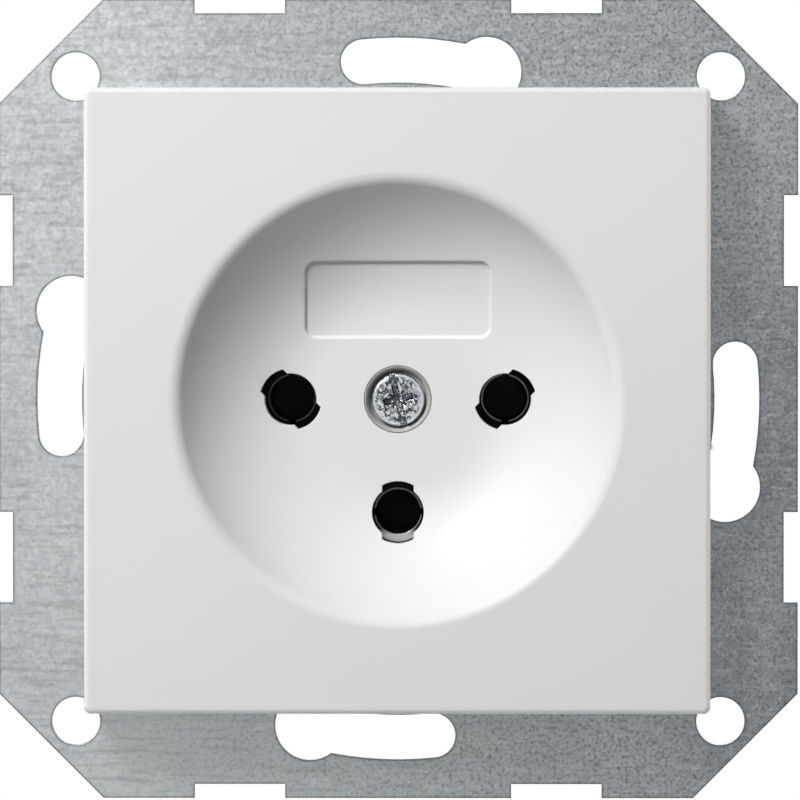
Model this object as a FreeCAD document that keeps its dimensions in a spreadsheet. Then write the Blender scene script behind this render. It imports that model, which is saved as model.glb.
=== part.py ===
import FreeCAD, Part
import math
import os
import re
import Sketcher

# Flush wall socket insert for round three-pin plugs.
# Millimetres. X to the right, Z up, the wall plane at Y = 0 and the front towards -Y.

V = FreeCAD.Vector
doc = FreeCAD.newDocument("wall_socket")

# Driving dimensions, name and value
SIZES = [
    # Support frame, a stamped sheet
    ("frame_side", 71.0),
    ("frame_thick", 1.0),
    ("frame_chamfer", 9.3),
    ("frame_window_r", 17.5),
    ("corner_pitch", 57.3),
    ("corner_hole_r", 2.15),
    ("notch_pitch", 28.14),
    ("notch_width", 8.05),
    ("notch_depth", 1.25),
    ("slot_radius", 30.1),
    ("slot_width", 4.0),
    ("slot_plain_angle", 5.9),
    ("keyhole_angle", 15.1),
    ("keyhole_r", 3.1),
    # Cover
    ("cover_side", 55.0),
    ("cover_height", 9.0),
    ("cover_wall", 2.0),
    ("cover_corner_r", 0.6),
    ("cover_edge_r", 0.45),
    ("cover_post", 4.0),
    ("cover_rib", 1.2),
    ("bowl_rim_r", 20.1),
    ("bowl_rim_round", 1.4),
    ("bowl_floor_r", 7.5),
    ("bowl_depth", 7.0),
    ("bowl_wall", 1.5),
    ("label_width", 16.3),
    ("label_height", 6.6),
    ("label_centre", 8.9),
    ("label_depth", 0.35),
    ("label_edge_r", 0.28),
    ("label_corner_r", 0.9),
    # Pin pattern
    ("pin_spacing", 19.0),
    ("earth_drop", 10.0),
    ("pin_hole_r", 2.3),
    ("lobe_r", 2.75),
    ("lobe_width", 2.8),
    ("lobe_angle", 45.0),
    # Base moulding
    ("base_r", 25.5),
    ("base_depth", 22.0),
    ("base_edge", 0.8),
    ("recess_depth", 1.0),
    ("chamber_half", 4.3),
    ("rear_depth", 5.5),
    ("relief_depth", 2.0),
    ("core_wall", 1.2),
    ("core_depth", 4.0),
    ("plate_lip", 1.0),
    ("plate_rise", 0.5),
    ("fit_gap", 0.3),
    # Contacts
    ("sleeve_r", 2.0),
    ("sleeve_wall", 0.7),
    ("sleeve_mouth", 3.5),
    ("collar_wall", 1.1),
    ("sleeve_slit", 0.6),
    ("sheet", 1.0),
    ("strip_half", 4.0),
    ("spring_wire", 0.5),
    ("spring_length", 3.2),
    ("spring_gap_angle", 70.0),
    ("running", 0.05),
    # Terminals
    ("tab_face", 15.5),
    ("tab_length", 9.0),
    ("terminal_gap", 2.3),
    ("terminal_half", 5.4),
    ("terminal_front", 6.5),
    ("terminal_screw_r", 1.75),
    ("terminal_screw_y", 11.5),
    ("terminal_head_r", 3.2),
    ("terminal_head", 2.0),
    ("screw_end_past_tab", 0.7),
    ("clamp_half", 4.9),
    ("clamp_lip", 0.8),
    ("clamp_length", 8.0),
    ("wire_pitch", 5.8),
    ("wire_hole_r", 1.3),
    ("wire_lead", 0.5),
    # Cover screw and its nut
    ("screw_r", 1.5),
    ("screw_end", 8.0),
    ("screw_head_r", 2.35),
    ("screw_head", 1.0),
    ("screw_head_round", 0.35),
    ("screw_sink", 1.1),
    ("screw_clear", 0.2),
    ("nut_side", 5.5),
    ("nut_thick", 2.2),
    # Ring that holds the screw captive in the cover
    ("ring_r", 2.95),
    ("ring_lip", 0.1),
    ("ring_floor", 0.6),
    # Rivets and pegs
    ("rivet_x", 17.4),
    ("rivet_z", 13.4),
    ("rivet_r", 1.5),
    ("rivet_bore_r", 0.9),
    ("rivet_head_r", 2.4),
    ("rivet_head", 0.6),
    # Earth strap
    ("strap_half", 2.5),
    ("strap_thick", 0.5),
    ("strap_out", 23.0),
    # Claw, its screw and its nut
    ("claw_bay_x", 19.5),
    ("claw_bay_half", 7.5),
    ("claw_screw_x", 22.6),
    ("claw_screw_short", 1.5),
    ("claw_head_r", 2.5),
    ("claw_head", 2.0),
    ("claw_pivot_x", 21.9),
    ("claw_pivot_y", 2.2),
    ("claw_rest_angle", 12.0),
    ("claw_tooth_reach", 3.2),
    ("claw_tip_half", 5.0),
    ("claw_tooth", 1.0),
    ("cheek_inner", 3.4),
    ("cheek_back", 1.8),
    ("trunnion_r", 0.9),
    ("ear_gap", 0.3),
    ("ear_half", 1.6),
    ("ear_reach", 4.2),
    ("claw_nut_half", 3.0),
    ("claw_nut_thick", 2.5),
    ("claw_nut_inset", 5.0),
    ("claw_nut_face", 24.9),
    ("claw_slot_half", 1.9),
    ("claw_slot_short", 3.5),
]

sheet = doc.addObject("Spreadsheet::Sheet", "Sizes")
for row, (name, value) in enumerate(SIZES, start=1):
    sheet.set("A%d" % row, name)
    sheet.set("B%d" % row, repr(value))
    sheet.setAlias("B%d" % row, name)
doc.recompute()


class Values:
    pass


S = Values()
for name, value in SIZES:
    setattr(S, name, float(sheet.get(name)))
NAMES = re.compile(r"\b(" + "|".join(name for name, value in SIZES) + r")\b")


def link(target, prop, formula):
    target.setExpression(prop, NAMES.sub(r"Sizes.\1", formula))


# Modelling helpers
def new_body(name):
    body = doc.addObject("PartDesign::Body", name)
    body.Label = name
    return body


def origin(body, role):
    return next(f for f in body.Origin.OriginFeatures if f.Role == role)


def sketch(body, plane, name, offset="0"):
    # On XZ the sketch looks to the front: its x is X, its y is Z and its offset runs along -Y
    sk = body.newObject("Sketcher::SketchObject", name)
    sk.AttachmentSupport = [(origin(body, plane + "_Plane"), "")]
    sk.MapMode = "FlatFace"
    if offset != "0":
        link(sk, "AttachmentOffset.Base.z", offset)
    return sk


def path(sk, points):
    # A closed outline. A point is (x, y), and (x, y, (mx, my)) ends an arc that passes (mx, my)
    first = sk.GeometryCount
    last = points[-1]
    for point in points:
        a = V(last[0], last[1], 0)
        b = V(point[0], point[1], 0)
        if len(point) == 3:
            arc = Part.Arc(a, V(point[2][0], point[2][1], 0), b)
            sk.addGeometry(arc, False)
        else:
            sk.addGeometry(Part.LineSegment(a, b), False)
        last = point
    return first


def circle(sk, x, y, r):
    sk.addGeometry(Part.Circle(V(x, y, 0), V(0, 0, 1), r), False)


def rectangle(sk, x0, y0, x1, y1):
    path(sk, [(x0, y0), (x1, y0), (x1, y1), (x0, y1)])


def rounded(sk, cx, cy, w, d, r):
    hx, hy, k = w / 2, d / 2, r * (1 - math.sqrt(0.5))
    path(sk, [
        (cx + hx - r, cy - hy),
        (cx + hx, cy - hy + r, (cx + hx - k, cy - hy + k)),
        (cx + hx, cy + hy - r),
        (cx + hx - r, cy + hy, (cx + hx - k, cy + hy - k)),
        (cx - hx + r, cy + hy),
        (cx - hx, cy + hy - r, (cx - hx + k, cy + hy - k)),
        (cx - hx, cy - hy + r),
        (cx - hx + r, cy - hy, (cx - hx + k, cy - hy + k)),
    ])


def extrude(body, kind, sk, name, length, reverse=False):
    feature = body.newObject("PartDesign::" + kind, name)
    feature.Profile = sk
    link(feature, "Length", length)
    feature.Reversed = reverse
    return feature


def pad(body, sk, name, length, reverse=False):
    return extrude(body, "Pad", sk, name, length, reverse)


def pocket(body, sk, name, length, reverse=False):
    return extrude(body, "Pocket", sk, name, length, reverse)


def turn(body, kind, sk, name, axis="Y_Axis"):
    feature = body.newObject("PartDesign::" + kind, name)
    feature.Profile = sk
    feature.ReferenceAxis = (origin(body, axis), [""])
    feature.Angle = 360
    return feature


def dress(body, kind, base, name, pick, size):
    # A fillet or chamfer on the edges of base that pick accepts
    doc.recompute()
    edges = ["Edge%d" % (i + 1) for i, e in enumerate(base.Shape.Edges) if pick(e)]
    if not edges:
        raise ValueError("no edge for " + name)
    feature = body.newObject("PartDesign::" + kind, name)
    feature.Base = (base, edges)
    link(feature, "Radius" if kind == "Fillet" else "Size", size)
    return feature


def flat_at(value, axis, tol=1e-4):
    # Picks the edges that lie in one plane square to an axis
    def pick(edge):
        box = edge.BoundBox
        low = getattr(box, axis + "Min")
        high = getattr(box, axis + "Max")
        return abs(low - value) < tol and abs(high - value) < tol
    return pick


def polar(r, degrees):
    a = math.radians(degrees)
    return (r * math.cos(a), r * math.sin(a))


pin_x = S.pin_spacing / 2
# The chambers are open to the rear, up to the rear cover
chamber_floor = S.base_depth - S.rear_depth
FLOOR = "(base_depth - rear_depth)"
POLES = [("live", -pin_x, 0.0, 1), ("neutral", pin_x, 0.0, 1), ("earth", 0.0, -S.earth_drop, -1)]
SIDES = [("right", 1), ("left", -1)]


# Support frame
def notch_points(side):
    # The run of one edge of the square, left to right along its own direction, before turning
    h = side / 2
    c = S.frame_chamfer
    points = [(-h + c, h)]
    for centre in (-S.notch_pitch / 2, S.notch_pitch / 2):
        a, b = centre - S.notch_width / 2, centre + S.notch_width / 2
        points += [(a, h), (a, h - S.notch_depth), (b, h - S.notch_depth), (b, h)]
    points += [(h - c, h)]
    return points


def quarter_turns(points, k):
    for i in range(k):
        points = [(y, -x) for x, y in points]
    return points


def keyhole_slot(sk, turns):
    r, w = S.slot_radius, S.slot_width / 2
    a0 = 90 + S.slot_plain_angle
    a1 = 90 - S.keyhole_angle
    # The keyhole circle meets the two slot walls here
    inner, outer = r - w, r + w

    def meet(radius):
        cosine = (radius ** 2 + r ** 2 - S.keyhole_r ** 2) / (2 * radius * r)
        return a1 + math.degrees(math.acos(cosine))
    mi, mo = meet(inner), meet(outer)
    points = [
        polar(outer, a0) + (polar(outer, (mo + a0) / 2),),
        polar(inner, a0) + (polar(r, a0 + math.degrees(w / r)),),
        polar(inner, mi) + (polar(inner, (mi + a0) / 2),),
        polar(outer, mo) + (polar(r, a1 - math.degrees(2 * math.asin(S.keyhole_r / (2 * r)))),),
    ]

    def spin(p):
        x, y = p
        for i in range(turns):
            x, y = y, -x
        return (x, y)
    path(sk, [spin(p[:2]) + (spin(p[2]),) for p in points])


frame = new_body("support_frame")
sk = sketch(frame, "XZ", "frame_outline")
outline = []
for k in range(4):
    outline += quarter_turns(notch_points(S.frame_side), k)
path(sk, outline)
pad(frame, sk, "frame_blank", "frame_thick")
sk = sketch(frame, "XZ", "frame_holes", "frame_thick")
hp = S.corner_pitch / 2
for x in (-hp, hp):
    for z in (-hp, hp):
        circle(sk, x, z, S.corner_hole_r)
for x, z in ((1, 1), (-1, -1), (1, -1), (-1, 1)):
    circle(sk, x * S.rivet_x, z * S.rivet_z, S.rivet_r + S.running)
for name, side in SIDES:
    circle(sk, side * S.claw_screw_x, 0, S.screw_r + S.screw_clear)
circle(sk, 0, 0, S.frame_window_r)
pocket(frame, sk, "frame_round_holes", "frame_thick")
sk = sketch(frame, "XZ", "frame_slots", "frame_thick")
for k in range(4):
    keyhole_slot(sk, k)
pocket(frame, sk, "frame_keyholes", "frame_thick")
# The ears that carry the claws are bent back out of the sheet and leave a window each
cheek_outer = S.cheek_inner + S.sheet
ear_in = cheek_outer + S.ear_gap
ear_out = ear_in + S.frame_thick
sk = sketch(frame, "XZ", "ear_windows", "frame_thick")
for name, side in SIDES:
    x0 = side * (S.claw_pivot_x - S.ear_half)
    x1 = side * (S.claw_pivot_x + S.ear_half)
    for z in (1, -1):
        rectangle(sk, x0, z * ear_out, x1, z * (ear_out + S.ear_reach))
pocket(frame, sk, "frame_ear_windows", "frame_thick")
for z, word in ((1, "upper"), (-1, "lower")):
    sk = sketch(frame, "XY", word + "_ears", ("" if z > 0 else "-")
                + "(cheek_inner + sheet + ear_gap)")
    for name, side in SIDES:
        x0 = side * (S.claw_pivot_x - S.ear_half)
        x1 = side * (S.claw_pivot_x + S.ear_half)
        xm = side * S.claw_pivot_x
        top = S.ear_reach - S.ear_half
        path(sk, [(x0, -S.frame_thick), (x1, -S.frame_thick), (x1, top), (x0, top, (xm, S.ear_reach))])
    pad(frame, sk, word + "_ear_pads", "frame_thick", z < 0)
    sk = sketch(frame, "XY", word + "_ear_holes", ("" if z > 0 else "-")
                + "(cheek_inner + sheet + ear_gap + frame_thick)")
    for name, side in SIDES:
        circle(sk, side * S.claw_pivot_x, S.claw_pivot_y, S.trunnion_r + S.running * 2)
    pocket(frame, sk, word + "_ear_bores", "frame_thick", z < 0)
doc.recompute()


# Cover
front = -S.frame_thick - S.cover_height
# The dish is one arc from its flat floor up to its rounded rim
floor_y = front + S.bowl_depth
slope = 2 * math.atan(S.bowl_depth / (S.bowl_rim_r - S.bowl_floor_r))
wall_arc = (S.bowl_rim_r - S.bowl_floor_r) / math.sin(slope) - S.bowl_rim_round
arc_y = floor_y - wall_arc
rim_in_r = S.bowl_rim_r - S.bowl_rim_round * math.sin(slope)
rim_in_y = front + S.bowl_rim_round * (1 - math.cos(slope))
seat_y = floor_y + S.screw_sink
boss_y = -S.plate_rise


def on_arc(cx, cy, r, degrees):
    # Angle 0 points to +Y and 90 to +X
    a = math.radians(degrees)
    return (cx + r * math.sin(a), cy + r * math.cos(a))


def dish_line(wall):
    # The dish from the top of its slope to its floor, wall behind the surface that the plug meets
    top = math.degrees(slope)
    return [
        on_arc(S.bowl_floor_r, arc_y, wall_arc + wall, top),
        on_arc(S.bowl_floor_r, arc_y, wall_arc + wall, 0)
        + (on_arc(S.bowl_floor_r, arc_y, wall_arc + wall, top / 2),),
    ]


cover = new_body("cover")
sk = sketch(cover, "XZ", "cover_outline", "frame_thick")
rounded(sk, 0, 0, S.cover_side, S.cover_side, S.cover_corner_r)
block = pad(cover, sk, "cover_block", "cover_height")
dress(cover, "Fillet", block, "cover_front_edge", flat_at(front, "Y"), "cover_edge_r")
sk = sketch(cover, "XZ", "cover_inside", "frame_thick")
inside = S.cover_side - 2 * S.cover_wall
rounded(sk, 0, 0, inside, inside, S.cover_corner_r)
pocket(cover, sk, "cover_hollow", "cover_height - cover_wall", True)
# Corner posts stand on the frame, and ribs tie them to the dish
sk = sketch(cover, "XZ", "cover_posts", "frame_thick")
hi = inside / 2
for x in (-1, 1):
    for z in (-1, 1):
        rectangle(sk, x * (hi + 0.2), z * (hi + 0.2), x * (hi - S.cover_post), z * (hi - S.cover_post))
pad(cover, sk, "cover_post_pads", "cover_height - cover_wall + 0.2")
sk = sketch(cover, "XZ", "cover_ribs", "frame_thick + cover_height / 3")
rib_in = S.bowl_floor_r + (wall_arc + S.bowl_wall / 2) * math.sin(slope * 0.8)
rib_out = (hi - S.cover_post / 2) * math.sqrt(2)
for k in range(4):
    direction = 45 + 90 * k
    across = polar(S.cover_rib / 2, direction + 90)
    a, b = polar(rib_in, direction), polar(rib_out, direction)
    path(sk, [(a[0] - across[0], a[1] - across[1]), (b[0] - across[0], b[1] - across[1]),
              (b[0] + across[0], b[1] + across[1]), (a[0] + across[0], a[1] + across[1])])
pad(cover, sk, "cover_rib_pads", "cover_height * 2 / 3 - cover_wall + 0.2")
# The back of the dish, with the boss that the screw draws down on to the contact plate
back = dish_line(S.bowl_wall)
top_y = front + S.cover_wall - 0.3
top_r = back[0][0] + (back[0][1] - top_y) / math.tan(slope)
boss_r = S.ring_r + S.cover_rib
sk = sketch(cover, "XY", "dish_back")
path(sk, [(0, top_y), (top_r, top_y)] + back + [
    (boss_r, floor_y + S.bowl_wall), (boss_r, boss_y), (0, boss_y)])
turn(cover, "Revolution", sk, "dish_shell")
# Collars lead the live and neutral pins through to the contact plate
sk = sketch(cover, "XZ", "pin_collars", "plate_rise")
for side in (-1, 1):
    circle(sk, side * pin_x, 0, S.lobe_r + S.collar_wall)
pad(cover, sk, "pin_collar_pads", "frame_thick + cover_height - bowl_depth - bowl_wall / 2 - plate_rise")
# The dish with its rounded rim, and the bore for the ring round the screw's head
hole_r = S.screw_r + S.screw_clear
seat_r = S.screw_head_r + S.running * 2
ring_bore = S.ring_r + S.running
ring_end = seat_y + S.ring_floor
sk = sketch(cover, "XY", "dish_front")
path(sk, [
    (0, front - 1), (S.bowl_rim_r, front - 1), (S.bowl_rim_r, front),
    (rim_in_r, rim_in_y) + (on_arc(S.bowl_rim_r, front + S.bowl_rim_round, S.bowl_rim_round,
                                   180 + math.degrees(slope) / 2),),
] + dish_line(0)[1:] + [
    (ring_bore, floor_y), (ring_bore, ring_end), (hole_r, ring_end), (hole_r, 1), (0, 1),
])
turn(cover, "Groove", sk, "dish_cut")


def lobed_hole(sk, x, z, degrees, r, lobe_r, width):
    # A round hole with two side lobes along one direction
    h = width / 2
    a = math.sqrt(r * r - h * h)
    b = math.sqrt(lobe_r * lobe_r - h * h)
    c, s = math.cos(math.radians(degrees)), math.sin(math.radians(degrees))

    def at(u, v):
        return (x + u * c - v * s, z + u * s + v * c)
    path(sk, [
        at(b, -h), at(b, h) + (at(lobe_r, 0),), at(a, h), at(-a, h) + (at(0, r),),
        at(-b, h), at(-b, -h) + (at(-lobe_r, 0),), at(-a, -h), at(a, -h) + (at(0, -r),),
    ])


sk = sketch(cover, "XZ", "pin_holes")
LOBES = {"live": 180 - S.lobe_angle, "neutral": S.lobe_angle, "earth": 90}
for pole, x, z, way in POLES:
    lobed_hole(sk, x, z, LOBES[pole], S.pin_hole_r, S.lobe_r, S.lobe_width)
pocket(cover, sk, "pin_hole_cut", "cover_height / 2", True)
doc.recompute()

# A bare label panel, sunk evenly into the curve of the dish. The slab that leaves it is a layer
# of the dish, trimmed to the outline of the panel
slab = new_body("label_slab")
sk = sketch(slab, "XY", "slab_profile")
face, back = dish_line(-S.bowl_wall), dish_line(S.label_depth)
path(sk, [(0, face[1][1]), face[1][:2], face[0] + (face[1][2],), back[0], back[1], (0, back[1][1])])
turn(slab, "Revolution", sk, "slab_layer")
sk = sketch(slab, "XZ", "slab_outline", "frame_thick")
rectangle(sk, -S.cover_side, -S.cover_side, S.cover_side, S.cover_side)
rounded(sk, 0, S.label_centre, S.label_width, S.label_height, S.label_corner_r)
pocket(slab, sk, "slab_trim", "cover_height", True)
recess = cover.newObject("PartDesign::Boolean", "label_recess")
recess.setObjects([slab])
recess.Type = "Cut"


def on_label_rim(edge):
    # Picks the edges of the recess that lie in the surface of the dish
    p = edge.valueAt((edge.FirstParameter + edge.LastParameter) / 2)
    near = abs(p.x) < S.label_width / 2 + 0.01 and abs(p.z - S.label_centre) < S.label_height / 2 + 0.01
    r = max(math.hypot(p.x, p.z) - S.bowl_floor_r, 0)
    return near and p.y < 0 and abs(math.hypot(p.y - arc_y, r) - wall_arc) < 0.01


dress(cover, "Fillet", recess, "label_rim", on_label_rim, "label_edge_r")
doc.recompute()


# Base moulding, open to the rear behind the contacts
pin_bore_r = S.sleeve_r + 2 * S.screw_clear
tab_in = S.tab_face - S.sheet
wire_z = S.tab_face + S.terminal_gap / 2


def claw_bays(body, word):
    sk = sketch(body, "XZ", word + "_claw_bays", "-base_depth")
    for name, side in SIDES:
        rectangle(sk, side * S.claw_bay_x, -S.claw_bay_half, side * (S.base_r + 1), S.claw_bay_half)
    pocket(body, sk, word + "_claw_bay_cuts", "base_depth", True)


def cores(body, word, rear):
    # Cores between the chambers, the terminals, the claw bays and the rivets keep the walls even
    sk = sketch(body, "XZ", word + "_cores", "-" + rear)
    wall = S.core_wall
    inner = pin_x - S.chamber_half - wall
    outer = pin_x + S.chamber_half + wall
    rectangle(sk, -inner, wall + S.chamber_half - S.earth_drop, inner, tab_in - wall)
    for side in (-1, 1):
        h = S.claw_bay_half - wall
        rectangle(sk, side * outer, -h, side * (S.claw_bay_x - wall), h)
        x0, x1 = S.terminal_half + wall, S.rivet_x - S.rivet_head_r - wall
        z0, z1 = S.tab_face + wall, S.chamber_half + wall
        rounded(sk, side * (x0 + x1) / 2, -(z0 + z1) / 2, x1 - x0, z0 - z1, wall)
    pocket(body, sk, word + "_core_cuts", "core_depth", True)


base = new_body("base")
sk = sketch(base, "XZ", "base_outline", "-" + FLOOR)
circle(sk, 0, 0, S.base_r)
pad(base, sk, "base_blank", FLOOR)
claw_bays(base, "base")
sk = sketch(base, "XZ", "plate_seat")
circle(sk, 0, 0, S.frame_window_r + S.plate_lip + S.fit_gap)
pocket(base, sk, "plate_seat_cut", "recess_depth")
chamber_end = S.tab_face + S.fit_gap
sk = sketch(base, "XZ", "chambers")
for pole, x, z, way in POLES:
    h = S.chamber_half
    end = chamber_end if way > 0 else -chamber_end - S.strap_thick
    path(sk, [(x - h, z), (x + h, z, (x, z - way * h)), (x + h, end), (x - h, end)])
pocket(base, sk, "chamber_cut", FLOOR)
for way, word in ((1, "upper"), (-1, "lower")):
    sk = sketch(base, "XY", word + "_terminals", ("" if way > 0 else "-") + "(tab_face - sheet - 0.1)")
    for pole, x, z, pole_way in POLES:
        if pole_way == way:
            rectangle(sk, x - S.terminal_half, S.terminal_front, x + S.terminal_half, chamber_floor + 1)
    pocket(base, sk, word + "_terminal_cut", "base_r", way > 0)
# Nut pocket and screw bore in the middle
sk = sketch(base, "XZ", "nut_pocket")
hn = S.nut_side / 2 + S.fit_gap
rectangle(sk, -hn, -hn, hn, hn)
pocket(base, sk, "nut_pocket_cut", "recess_depth + nut_thick")
sk = sketch(base, "XZ", "screw_bore")
circle(sk, 0, 0, S.screw_r + S.fit_gap)
pocket(base, sk, "screw_bore_cut", "screw_end + 1")
# The strap lies in a channel under the frame
sk = sketch(base, "XZ", "strap_channel")
rectangle(sk, -S.strap_half - S.fit_gap, -S.strap_out - S.fit_gap, S.strap_half + S.fit_gap, -S.tab_face)
pocket(base, sk, "strap_channel_cut", "strap_thick")
sk = sketch(base, "XZ", "rivet_bores")
for x, z in ((1, 1), (-1, -1)):
    circle(sk, x * S.rivet_x, z * S.rivet_z, S.rivet_r + S.running)
pocket(base, sk, "rivet_bore_cut", "base_depth")
sk = sketch(base, "XZ", "pegs")
for x, z in ((1, -1), (-1, 1)):
    circle(sk, x * S.rivet_x, z * S.rivet_z, S.rivet_r)
pad(base, sk, "peg_pads", "frame_thick + rivet_head")
cores(base, "base", FLOOR)
doc.recompute()


# Rear cover, which closes the chambers and guides the wires to the terminals
rear = new_body("rear_cover")
sk = sketch(rear, "XZ", "rear_outline", "-base_depth")
circle(sk, 0, 0, S.base_r)
blank = pad(rear, sk, "rear_blank", "rear_depth")
dress(rear, "Chamfer", blank, "rear_edge", flat_at(S.base_depth, "Y"), "base_edge")
claw_bays(rear, "rear")
sk = sketch(rear, "XZ", "pin_reliefs", "-" + FLOOR)
for pole, x, z, way in POLES:
    circle(sk, x, z, pin_bore_r)
pocket(rear, sk, "pin_relief_cut", "relief_depth")
sk = sketch(rear, "XZ", "rear_holes", "-base_depth")
for pole, x, z, way in POLES:
    for k in (-1, 1):
        circle(sk, x + k * S.wire_pitch / 2, way * wire_z, S.wire_hole_r)
for x, z in ((1, 1), (-1, -1)):
    circle(sk, x * S.rivet_x, z * S.rivet_z, S.rivet_r + S.running)
holes = pocket(rear, sk, "rear_hole_cut", "base_depth", True)


def wire_mouth(edge):
    # The rear edges of the wire holes, told from the rivet bores by their radius
    on_rear = flat_at(S.base_depth, "Y")(edge)
    round_edge = edge.Curve.TypeId == "Part::GeomCircle"
    return on_rear and round_edge and abs(edge.Curve.Radius - S.wire_hole_r) < 1e-4


dress(rear, "Chamfer", holes, "wire_leads", wire_mouth, "wire_lead")
cores(rear, "rear", "base_depth")
doc.recompute()


# Contact plate, trapped between the base and the rim of the frame's window
plate = new_body("contact_plate")
sk = sketch(plate, "XZ", "plate_flange", "-recess_depth")
circle(sk, 0, 0, S.frame_window_r + S.plate_lip)
pad(plate, sk, "plate_flange_pad", "recess_depth")
sk = sketch(plate, "XZ", "plate_disc")
circle(sk, 0, 0, S.frame_window_r - S.fit_gap)
pad(plate, sk, "plate_disc_pad", "plate_rise")
sk = sketch(plate, "XZ", "plate_holes", "plate_rise")
for pole, x, z, way in POLES:
    circle(sk, x, z, S.lobe_r + S.fit_gap / 2)
circle(sk, 0, 0, S.screw_r + S.screw_clear)
pocket(plate, sk, "plate_hole_cut", "plate_rise + recess_depth")
sk = sketch(plate, "XZ", "strap_notch", "plate_rise")
rectangle(sk, -S.strap_half - 2 * S.fit_gap, -S.tab_face + S.fit_gap,
          S.strap_half + 2 * S.fit_gap, -S.base_r)
pocket(plate, sk, "strap_notch_cut", "plate_rise + recess_depth")
doc.recompute()


# Contacts: a slit sleeve, a strip behind it and a tab for the terminal
def contact(name, x, z, way, mouth):
    body = new_body(name + "_contact")
    strip_y = "(base_depth - rear_depth - sheet)"
    sk = sketch(body, "XZ", name + "_strip", "-" + FLOOR)
    h = S.strip_half
    end = way * S.tab_face
    path(sk, [(x - h, z), (x + h, z, (x, z - way * h)), (x + h, end), (x - h, end)])
    circle(sk, x, z, S.sleeve_r)
    pad(body, sk, name + "_strip_pad", "sheet")
    sk = sketch(body, "XZ", name + "_sleeve", "-" + strip_y)
    circle(sk, x, z, S.sleeve_r + S.sleeve_wall)
    circle(sk, x, z, S.sleeve_r)
    pad(body, sk, name + "_sleeve_pad", strip_y + " - " + mouth)
    sk = sketch(body, "XY", name + "_tab", ("" if way > 0 else "-") + "(tab_face - sheet)")
    rectangle(sk, x - h, chamber_floor - S.tab_length, x + h, chamber_floor)
    tab = pad(body, sk, name + "_tab_pad", "sheet", way < 0)

    def bend(edge):
        box = edge.BoundBox
        return (box.XLength > 2 * h - 0.1 and abs(box.YMin - chamber_floor) < 1e-4
                and abs(box.ZMin * way - S.tab_face) < 1e-3 and box.ZLength < 1e-3)
    dress(body, "Fillet", tab, name + "_bend", bend, "sheet * 0.9")
    sk = sketch(body, "XY", name + "_thread", ("" if way > 0 else "-") + "(tab_face - sheet)")
    circle(sk, x, S.terminal_screw_y, S.terminal_screw_r + S.running)
    pocket(body, sk, name + "_thread_cut", "sheet", way > 0)
    # The slit lies clear of the side lobes of the pin hole
    sk = sketch(body, "XZ", name + "_slit", "-" + mouth)
    u, w = S.sleeve_r + S.sleeve_wall + 0.2, S.sleeve_slit / 2
    if name == "earth":
        u, w = w, u
    rectangle(sk, x - w, z - u, x + w, z + u)
    pocket(body, sk, name + "_slit_cut", "(" + strip_y + " - " + mouth + ") * 0.8")
    return body


# The earth sleeve comes up close behind the dish, so that earth makes first
MOUTHS = {"live": "sleeve_mouth", "neutral": "sleeve_mouth"}
MOUTHS["earth"] = "(bowl_depth - frame_thick - cover_height + bowl_wall + fit_gap)"
for pole, x, z, way in POLES:
    contact(pole, x, z, way, MOUTHS[pole])
doc.recompute()


# Spring clips around the sleeves
def clip(name, x, z):
    body = new_body(name + "_spring")
    sk = sketch(body, "XZ", name + "_clip", "-(sleeve_mouth + spring_wire + spring_length)")
    r0 = S.sleeve_r + S.sleeve_wall + S.running
    r1 = r0 + S.spring_wire
    g = S.spring_gap_angle / 2

    def at(r, degrees):
        p = polar(r, degrees)
        return (x + p[0], z + p[1])
    path(sk, [at(r1, g), at(r1, -g) + (at(r1, 180),), at(r0, -g), at(r0, g) + (at(r0, 180),)])
    pad(body, sk, name + "_clip_pad", "spring_length")


for pole, x, z, way in POLES:
    clip(pole, x, z)


# Terminals: a saddle plate under the head of a screw
def terminal(name, x, way):
    sign = "" if way > 0 else "-"
    seat = "(tab_face + terminal_gap)"
    body = new_body(name + "_clamp")
    sk = sketch(body, "XY", name + "_saddle", sign + seat)
    y0 = S.terminal_screw_y - S.clamp_length / 2
    y1 = S.terminal_screw_y + S.clamp_length / 2
    rectangle(sk, x - S.clamp_half, y0, x + S.clamp_half, y1)
    circle(sk, x, S.terminal_screw_y, S.terminal_screw_r + S.screw_clear)
    pad(body, sk, name + "_saddle_pad", "sheet", way < 0)
    sk = sketch(body, "XY", name + "_lips", sign + seat)
    for k in (-1, 1):
        rectangle(sk, x + k * S.clamp_half, y0, x + k * (S.clamp_half - S.clamp_lip), y1)
    pad(body, sk, name + "_lip_pads", "clamp_lip", way > 0)
    body = new_body(name + "_terminal_screw")
    sk = sketch(body, "XY", name + "_shank", sign + "(tab_face - sheet - screw_end_past_tab)")
    circle(sk, x, S.terminal_screw_y, S.terminal_screw_r)
    pad(body, sk, name + "_shank_pad", "sheet + screw_end_past_tab + terminal_gap + sheet", way < 0)
    sk = sketch(body, "XY", name + "_head", sign + "(tab_face + terminal_gap + sheet)")
    circle(sk, x, S.terminal_screw_y, S.terminal_head_r)
    pad(body, sk, name + "_head_pad", "terminal_head", way < 0)
    sk = sketch(body, "XY", name + "_drive", sign + "(tab_face + terminal_gap + sheet + terminal_head)")
    rectangle(sk, x - S.terminal_head_r - 0.2, S.terminal_screw_y - 0.4,
              x + S.terminal_head_r + 0.2, S.terminal_screw_y + 0.4)
    pocket(body, sk, name + "_drive_cut", "terminal_head / 2", way < 0)


for pole, x, z, way in POLES:
    terminal(pole, x, way)


# Ring in the bottom of the dish, a cone down to the seat of the screw's head
ring = new_body("screw_ring")
sk = sketch(ring, "XY", "ring_profile")
path(sk, [(S.ring_r - S.ring_lip, floor_y), (S.ring_r, floor_y), (S.ring_r, ring_end),
          (hole_r, ring_end), (hole_r, seat_y), (seat_r, seat_y)])
turn(ring, "Revolution", sk, "ring_turned")

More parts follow.
